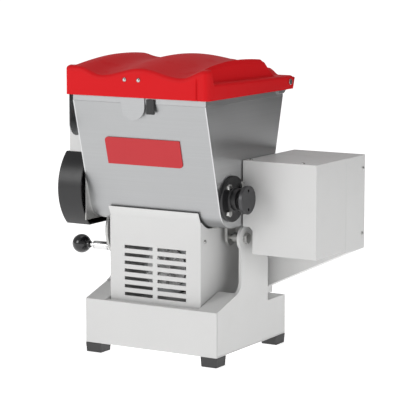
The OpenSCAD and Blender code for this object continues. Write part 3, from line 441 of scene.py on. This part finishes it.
# ---- Tub ----
# Stainless sheet: one long piece bent round the bottom, two flat side plates welded to it, and
# a folded rim band. The brush lines run across the front and along the sides; the wrap and rim carry painted
# shade, coloured darker than the side plates.
# Painted shade: this copy is the same stainless coloured darker than the along copy (0.4 against 0.6); the
# wrap, rim, paddle shafts and lid tabs use it.
brushed_across_painted_shade = streaked_metal("brushed_across_painted_shade", (0.4, 0.405, 0.41), 0.32, (5.0, 1600.0, 1600.0), 0.16,
                                0.000002)
brushed_along = streaked_metal("brushed_along", (0.6, 0.605, 0.61), 0.26, (1600.0, 5.0, 1600.0), 0.16,
                               0.000002)
softened("tub_wrap", brushed_across_painted_shade, 0.0007)
softened("tub_side_left", brushed_along, 0.0006)
softened("tub_side_right", brushed_along, 0.0006)
softened("tub_rim", brushed_across_painted_shade, 0.0012)

# ---- Plaque ----
# A blank red enamelled plaque with two round and two square corners, glued to the front wall.
enamel_red = skinned_material("enamel_red", (0.5, 0.025, 0.032), 0.4, 500, 0.000003, soil=0.02, gloss=0.3)
softened("plaque", enamel_red, 0.0003, 2)

# ---- Interlock sensor ----
# A small black moulded switch on the rim band, which the lid's front tab works.
satin_black = skinned_material("satin_black", (0.012, 0.012, 0.013), 0.34, 800, 0.00001, soil=0.08)
softened("sensor_block", satin_black, 0.0025, 4)

# ---- Front housing ----
# White sheet housing round the motor: a front with a flap that leans up to the tub and two
# columns of plain louvre slots, two sides and a floor.
softened("front_housing", powder_coat, 0.0009)
softened("housing_floor", powder_coat, 0.0009)
softened("housing_side_left", powder_coat, 0.0009)
softened("housing_side_right", powder_coat, 0.0009)

# ---- Screws ----
# Zinc-plated pan heads with a cross recess hold the sheet covers, and stand in for the plain
# heads of the frame's screws. The gearbox cover has smaller ones on its underside.


def repeated(name, master_mesh, places, turn, material, body, stands_for=()):
    """Copies of one small mesh at a list of places, all turned alike, made by Geometry Nodes."""
    tree = bpy.data.node_groups.new(name + "_tree", "GeometryNodeTree")
    tree.interface.new_socket(name="Geometry", in_out="INPUT", socket_type="NodeSocketGeometry")
    part_in = tree.interface.new_socket(name="Part", in_out="INPUT", socket_type="NodeSocketObject")
    turn_in = tree.interface.new_socket(name="Turn", in_out="INPUT", socket_type="NodeSocketVector")
    paint_in = tree.interface.new_socket(name="Finish", in_out="INPUT", socket_type="NodeSocketMaterial")
    tree.interface.new_socket(name="Geometry", in_out="OUTPUT", socket_type="NodeSocketGeometry")
    given = tree.nodes.new("NodeGroupInput")
    out = tree.nodes.new("NodeGroupOutput")
    part = tree.nodes.new("GeometryNodeObjectInfo")
    points = tree.nodes.new("GeometryNodeMeshToPoints")
    copies = tree.nodes.new("GeometryNodeInstanceOnPoints")
    solid = tree.nodes.new("GeometryNodeRealizeInstances")
    paint = tree.nodes.new("GeometryNodeSetMaterial")
    tree.links.new(given.outputs["Part"], part.inputs["Object"])
    tree.links.new(given.outputs["Geometry"], points.inputs["Mesh"])
    tree.links.new(points.outputs["Points"], copies.inputs["Points"])
    tree.links.new(part.outputs["Geometry"], copies.inputs["Instance"])
    tree.links.new(given.outputs["Turn"], copies.inputs["Rotation"])
    tree.links.new(copies.outputs["Instances"], solid.inputs["Geometry"])
    tree.links.new(solid.outputs["Geometry"], paint.inputs["Geometry"])
    tree.links.new(given.outputs["Finish"], paint.inputs["Material"])
    tree.links.new(paint.outputs["Geometry"], out.inputs["Geometry"])
    master = link_mesh(name + "_master", master_mesh)
    seed_mesh = bpy.data.meshes.new(name)
    seed_mesh.from_pydata([tuple(p) for p in places], [], [])
    piece = link_mesh(name, seed_mesh)
    maker = piece.modifiers.new("repeat", "NODES")
    maker.node_group = tree
    maker[part_in.identifier] = master
    maker[turn_in.identifier] = [float(a) for a in turn]
    maker[paint_in.identifier] = material
    bpy.context.view_layer.update()
    applied(piece)
    finish_mesh(piece.data, material, 30)
    bpy.data.objects.remove(master)
    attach(piece, body)
    if stands_for:
        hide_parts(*stands_for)
    return piece


def island_boxes(node):
    """Lowest and highest corner of each separate solid in a CAD node."""
    shape = bmesh.new()
    shape.from_mesh(nodes[node].data)
    bmesh.ops.remove_doubles(shape, verts=shape.verts, dist=1e-6)
    left = set(shape.verts)
    boxes = []
    while left:
        reach = [left.pop()]
        found = []
        while reach:
            vert = reach.pop()
            found.append(vert.co.copy())
            for edge in vert.link_edges:
                other = edge.other_vert(vert)
                if other in left:
                    left.remove(other)
                    reach.append(other)
        boxes.append((Vector(min(c[i] for c in found) for i in range(3)),
                      Vector(max(c[i] for c in found) for i in range(3))))
    shape.free()
    return sorted(boxes, key=lambda b: tuple(round(v, 4) for v in b[0]))


def pan_head(name, radius, height):
    """A pan head on +Z with a cross recess cut into it."""
    head = turned(name, [(-0.002, 0), (-0.002, radius * 0.5), (0, radius * 0.5), (0, radius),
                         (height * 0.35, radius), (height * 0.75, radius * 0.86), (height, radius * 0.5),
                         (height * 1.03, 0)], (0, 0, 0), "Z", zinc_plate, None, (), 40)
    cutter = bmesh.new()
    for size in ((radius * 1.1, radius * 0.26, height * 1.4), (radius * 0.26, radius * 1.1, height * 1.4)):
        bmesh.ops.create_cube(cutter, size=1, matrix=Matrix.Translation((0, 0, height * 1.05))
                              @ Matrix.Diagonal((*size, 1)))
    cutter_mesh = bpy.data.meshes.new(name + "_cutter")
    cutter.to_mesh(cutter_mesh)
    cutter.free()
    cross = link_mesh(name + "_cutter", cutter_mesh)
    cut = head.modifiers.new("cross", "BOOLEAN")
    cut.operation = "DIFFERENCE"
    cut.solver = "EXACT"
    cut.use_self = True
    cut.object = cross
    bpy.context.view_layer.update()
    graph = bpy.context.evaluated_depsgraph_get()
    mesh = bpy.data.meshes.new_from_object(head.evaluated_get(graph))
    bpy.data.objects.remove(head)
    bpy.data.objects.remove(cross)
    return mesh


def screw_place(box, x=None, z=None):
    """The middle of a screw's box, moved to a face where its x or z is given."""
    place = (box[0] + box[1]) / 2
    return place.x if x is None else x, place.y, place.z if z is None else z


quarter = math.pi / 2
big_head, small_head = 0.002, 0.0016
screw_big = pan_head("screw_big", 0.0032, big_head)
screw_small = pan_head("screw_small", 0.0027, small_head)
housing_boxes = island_boxes("housing_screws")
x_mid = sum(screw_place(b)[0] for b in housing_boxes) / len(housing_boxes)
cover_boxes = island_boxes("cover_screws")
cover_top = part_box("gearbox_cover")[1].z
case_boxes = island_boxes("case_screws")
case_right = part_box("belt_case_rear")[1].x
gear_boxes = island_boxes("gear_cover_screws")
case_under = [screw_place(b) for b in case_boxes if b[1].x <= case_right]
slope_turn = math.radians(155)
slope_x, slope_z = -0.0013, 0.0012
screw_rows = {
    "housing_screws_right": ([screw_place(b, x=b[1].x - big_head) for b in housing_boxes if b[0].x > x_mid],
                             (0, quarter, 0), "housing_screws"),
    "housing_screws_left": ([screw_place(b, x=b[0].x + big_head) for b in housing_boxes if b[0].x < x_mid],
                            (0, -quarter, 0), "housing_screws"),
    "cover_screws_top": ([screw_place(b, z=cover_top) for b in cover_boxes if b[1].z > cover_top],
                         (0, 0, 0), "cover_screws"),
    "case_screws_right": ([screw_place(b, x=case_right) for b in case_boxes if b[1].x > case_right],
                          (0, quarter, 0), "case_screws"),
    "case_screws_under": ([(x + slope_x, y, z + slope_z) for x, y, z in case_under],
                          (0, slope_turn, 0), "case_screws"),
    "gear_cover_screw_heads": ([screw_place(b, x=b[0].x + big_head) for b in gear_boxes],
                               (0, -quarter, 0), "gear_cover_screws"),
}
for name, (places, turn, node) in screw_rows.items():
    repeated(name, screw_big.copy(), places, turn, zinc_plate, "head", (node,))
under_places = [screw_place(b, z=b[0].z + small_head) for b in cover_boxes if b[1].z < cover_top]
repeated("cover_screws_under", screw_small, under_places, (math.pi, 0, 0), zinc_plate, "head")

# ---- Motor and fan ----
# The motor hangs from a bracket under the cradle, with a grey moulded fan in front of it that
# shows through the louvres. Body in dark enamel, end shields in plain alloy.
motor_enamel = skinned_material("motor_enamel", (0.05, 0.055, 0.06), 0.42, 600, 0.00004, soil=0.25)
cast_alloy = skinned_material("cast_alloy", (0.42, 0.43, 0.44), 0.42, 500, 0.00005, metallic=1.0, soil=0.15)
fan_grey = skinned_material("fan_grey", (0.75, 0.75, 0.75), 0.3, 500, 0.00001)
softened("motor_body", motor_enamel, 0.001)
softened("motor_shields", cast_alloy, 0.001)
softened("fan", fan_grey, 0.0005, 2)
softened("motor_bracket", plate_zinc, 0.0008)
repaint("rotor_shaft", bright_steel)

# ---- Belt drive ----
# Alloy V-pulleys on the motor and the worm shaft, and a black rubber belt between them, inside
# the belt case.
belt_rubber = skinned_material("belt_rubber", (0.02, 0.02, 0.02), 0.7, 900, 0.00005)
softened("motor_pulley", cast_alloy, 0.0004, 2)
softened("driven_pulley", cast_alloy, 0.0004, 2)
softened("drive_belt", belt_rubber, 0.0003, 2)

# ---- Worm gearbox ----
# Ground steel worm and a bronze wheel in an alloy casting, bolted to the tub's right side.
wheel_bronze = skinned_material("wheel_bronze", (0.55, 0.34, 0.13), 0.3, 700, 0.00001, metallic=1.0)
repaint("worm_shaft", bright_steel)
softened("worm_wheel", wheel_bronze, 0.0003, 2)
softened("gearbox_case", cast_alloy, 0.0012)

# ---- Gearbox cover and belt case ----
# White powder-coated sheet boxes, folded with small corner radii; the seam between them runs
# down the right side.
softened("gearbox_cover", powder_coat, 0.0017)
softened("belt_case_front", powder_coat, 0.0009)
softened("belt_case_rear", powder_coat, 0.0014)
softened("belt_case_back", powder_coat, 0.0009)

# ---- Lead gland ----
# Black moulded gland for the mains lead in the back of the belt case: a round flange, a ribbed
# nut and a rounded mouth.
gland_axis = middle("cable_gland")
case_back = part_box("belt_case_back")[1].y
gland_profile = [(-0.008, 0.004), (-0.008, 0.0078), (0, 0.0078), (0, 0.0105), (0.0006, 0.011),
                 (0.0044, 0.011), (0.005, 0.0105), (0.005, 0.0082)]
rib_pitch = 0.0018
for rib in range(4):
    gland_profile += [(0.0056 + rib_pitch * rib, 0.0082), (0.006 + rib_pitch * rib, 0.0076),
                      (0.0066 + rib_pitch * rib, 0.0076), (0.007 + rib_pitch * rib, 0.0082)]
gland_profile += [(0.0128, 0.0078), (0.0138, 0.0064), (0.014, 0.005), (0.0134, 0.0042), (-0.008, 0.004)]
turned("gland", gland_profile, (gland_axis.x, case_back, gland_axis.z), "Y", satin_black, "head",
       ("cable_gland",), 48)

# ---- Control box and switch ----
# White sheet box on the tub's left side, above the gear cover, with a black rocker switch in
# its outer face.
softened("control_box", powder_coat, 0.0012)
softened("switch_body", satin_black, 0.0007)
softened("switch_rocker", satin_black, 0.0006)

# ---- Bearing flange ----
# Black enamelled cast flange for the front shaft: a stepped disc, a short hub and four
# hexagon bolts.
flange_low, flange_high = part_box("bearing_flange")
flange_mid = middle("bearing_flange")
flange_r = (flange_high.z - flange_low.z) / 2
cast_black = skinned_material("cast_black", (0.012, 0.012, 0.013), 0.36, 450, 0.00005, soil=0.1)
hub_len = flange_high.x - flange_low.x
turned("flange_casting", [
    (0, 0.0092), (0, flange_r - 0.0006), (0.0006, flange_r), (0.0042, flange_r), (0.005, flange_r - 0.0008),
    (0.005, 0.0225), (0.0054, 0.0208), (0.0064, 0.0193), (0.008, 0.0182), (hub_len - 0.0014, 0.0178),
    (hub_len - 0.0004, 0.0172), (hub_len, 0.016), (hub_len, 0.0122), (hub_len - 0.001, 0.0116),
    (hub_len - 0.001, 0.0092), (0, 0.0092)],
    (flange_low.x, flange_mid.y, flange_mid.z), "X", cast_black, "head", ("bearing_flange",), 96)
softened("flange_bolts", zinc_plate, 0.0005)

# ---- End cap ----
# Blackened round nut on the end of the front shaft, with two holes for a pin spanner.
dark_steel = streaked_metal("dark_steel", (0.075, 0.075, 0.078), 0.34, (200.0, 200.0, 200.0), 0.2, 0.000002,
                            metallic=0.6)
softened("end_cap", dark_steel, 0.0011, 4)

# ---- Paddle shafts and gears ----
# Two stainless shafts with flat welded paddles cross the tub. Two equal hobbed spur gears join
# them on the left, on a plate with two bearing bosses.
gear_steel = streaked_metal("gear_steel", (0.3, 0.3, 0.31), 0.36, (900.0, 200.0, 200.0), 0.35)
softened("paddle_shaft_front", brushed_across_painted_shade, 0.0008)
softened("paddle_shaft_rear", brushed_across_painted_shade, 0.0008)
repaint("gear_front", gear_steel)
repaint("gear_rear", gear_steel)
softened("gear_plate", plate_zinc, 0.0005)

# ---- Gear cover ----
# Black satin pressing with bowed ends and a generous edge radius over the two gears.
softened("gear_cover", satin_black, 0.004, 5)

# ---- Lid ----
# One red satin moulding: soft waves run from front to back, upright faces cut them off above a
# ledge at the sides, a crease marks the corner post, and the skirt hangs over the rim.
lid_red = skinned_material("lid_red", (0.66, 0.009, 0.013), 0.46, 260, 0.000004, drift=0.03, soil=0.0,
                           gloss=0.1)
lid_low, lid_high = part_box("lid")
lid_mid_x = (lid_low.x + lid_high.x) / 2
lid_half = (lid_high.x - lid_low.x) / 2
lid_deep = lid_high.y - lid_low.y
side_face = lid_half - 0.012
ridge_deep = lid_deep - 0.0105
recess_start = 0.0125
corner = 0.009
edge_r = 0.0055
crest_x = 0.009
crest_half = 0.278 * 2 * lid_half
crest_rise = 0.165 * 2 * lid_half
valley = 0.033
wave = 0.0124
rise = 0.0165


def clamp(t):
    return max(0.0, min(1.0, t))


def ease(t):
    t = clamp(t)
    return t * t * (3 - 2 * t)


def lid_top(x, y):
    """Height of the moulding above its lower edge, x from its middle and y from its front."""
    along = clamp(y / ridge_deep)
    from_crest = abs(x - crest_x)
    if from_crest < crest_half:
        swell = (1 + math.cos(math.pi * from_crest / crest_half)) / 2
    else:
        swell = (1 - math.cos(math.pi * clamp((from_crest - crest_half) / crest_rise))) / 2
    arch = math.sin(math.pi * along ** (1 - 0.2 * clamp(x / side_face) ** 4))
    crown = valley + wave * swell + rise * arch * (1 - 0.25 * clamp(abs(x) / side_face) ** 4)
    ledge = valley - 0.006 - 0.005 * along
    side_cut = ease((abs(x) - side_face + 0.0026) / 0.0052) * ease((y - recess_start) / 0.0075)
    rear_cut = ease((along - 0.7) / 0.16) * ease((abs(x) / side_face - 0.7) / 0.16)
    return crown + (ledge - crown) * max(side_cut, rear_cut)


def lid_steps(length, fine):
    """Positions from 0 to length, closer together in the given fine stretches."""
    marks = [0.0]
    while marks[-1] < length - 1e-6:
        here = marks[-1]
        step = 0.0026
        for a, b, small in fine:
            if a - 1e-9 <= here < b:
                step = small
        marks.append(min(length, here + step))
    return marks


width = 2 * lid_half
edge_band = 0.0155
xs = lid_steps(width, [(0, edge_band, 0.0006), (width - 0.0235, width - 0.0165, 0.0006),
                       (width - edge_band, width, 0.0006)])
ys = lid_steps(lid_deep, [(0, 0.007, 0.0007), (recess_start - 0.001, recess_start + 0.0085, 0.0007),
                          (lid_deep - 0.007, lid_deep, 0.0007)])
lid_form = bmesh.new()
lid_grid = []
for y in ys:
    row = []
    for step_x in xs:
        x = step_x - lid_half
        px, py = x, y
        in_x = abs(x) - (lid_half - corner)
        in_y = max(corner - y, y - (lid_deep - corner))
        if in_x > 0 and in_y > 0:
            u, v = in_x / corner, in_y / corner
            u, v = u * math.sqrt(1 - v * v / 2), v * math.sqrt(1 - u * u / 2)
            edge = corner * (1 - math.hypot(u, v))
            px = math.copysign(lid_half - corner + u * corner, x)
            py = corner - v * corner if y < corner else lid_deep - corner + v * corner
        else:
            edge = min(lid_half - abs(x), y, lid_deep - y)
        z = lid_top(px, py)
        if edge < edge_r:
            z -= edge_r - math.sqrt(max(0.0, edge_r ** 2 - (edge_r - edge) ** 2))
        row.append(lid_form.verts.new((lid_mid_x + px, lid_low.y + py, lid_low.z + z)))
    lid_grid.append(row)
for j in range(len(ys) - 1):
    for i in range(len(xs) - 1):
        lid_form.faces.new((lid_grid[j][i], lid_grid[j][i + 1], lid_grid[j + 1][i + 1], lid_grid[j + 1][i]))
border = (lid_grid[0][:-1] + [row[-1] for row in lid_grid[:-1]] + lid_grid[-1][:0:-1]
          + [row[0] for row in lid_grid[:0:-1]])
crease_x = lid_half - 0.0203
skirt_levels = 10
rim_low, rim_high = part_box("tub_rim")
hinge_low, hinge_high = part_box("hinge_screws")


def skirt_end(x, y):
    """Lower end of the skirt: at the back it stops above the rim, and above the hinge's lugs."""
    if y < lid_high.y - 0.0045 or not rim_low.x - 0.0036 < x < rim_high.x + 0.0036:
        return lid_low.z
    if rim_low.x + 0.0006 < x < rim_high.x - 0.0006:
        return rim_high.z + 0.0012
    return (hinge_low.z + hinge_high.z) / 2 + 0.0066


skirt = [border]
for level in range(1, skirt_levels + 1):
    loop = []
    for vert in border:
        x, y, top = vert.co
        share = level / skirt_levels
        groove = 0.0024 * math.exp(-((x - lid_mid_x - crease_x) / 0.0013) ** 2)
        groove *= ease(share * 6) if y < lid_low.y + 0.002 else 0
        loop.append(lid_form.verts.new((x, y + groove, top + (skirt_end(x, y) - top) * share)))
    skirt.append(loop)
for upper, lower in zip(skirt, skirt[1:]):
    for k in range(len(upper)):
        m = (k + 1) % len(upper)
        lid_form.faces.new((upper[k], lower[k], lower[m], upper[m]))
bmesh.ops.recalc_face_normals(lid_form, faces=lid_form.faces)
lid_mesh = bpy.data.meshes.new("lid_moulding")
lid_form.to_mesh(lid_mesh)
lid_form.free()
lid_moulding = link_mesh("lid_moulding", lid_mesh)
wall = lid_moulding.modifiers.new("wall", "SOLIDIFY")
wall.thickness = 0.0028
wall.offset = -1
bpy.context.view_layer.update()
applied(lid_moulding)
finish_mesh(lid_moulding.data, lid_red, 50)
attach(lid_moulding, "lid")
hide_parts("lid")

# ---- Lid fittings ----
# Stainless tabs with round ends that work the interlock, two domed screws over the front tab,
# and the two screws that the lid turns on.
softened("lid_tabs", brushed_across_painted_shade, 0.0003, 2)
dome_places = [((b[0].x + b[1].x) / 2, b[1].y, (b[0].z + b[1].z) / 2)
               for b in island_boxes("tab_screws")]
dome = turned("dome_form", [(-0.001, 0), (-0.001, 0.0034), (0, 0.0036), (0.0004, 0.0036),
                            (0.0012, 0.0033), (0.0021, 0.0024), (0.0027, 0.0012), (0.0029, 0)],
              (0, 0, 0), "Z", zinc_plate, None, (), 40)
repeated("dome_screws", dome.data.copy(), dome_places, (quarter, 0, 0), zinc_plate, "lid", ("tab_screws",))
bpy.data.objects.remove(dome)
softened("hinge_screws", zinc_plate, 0.0007)
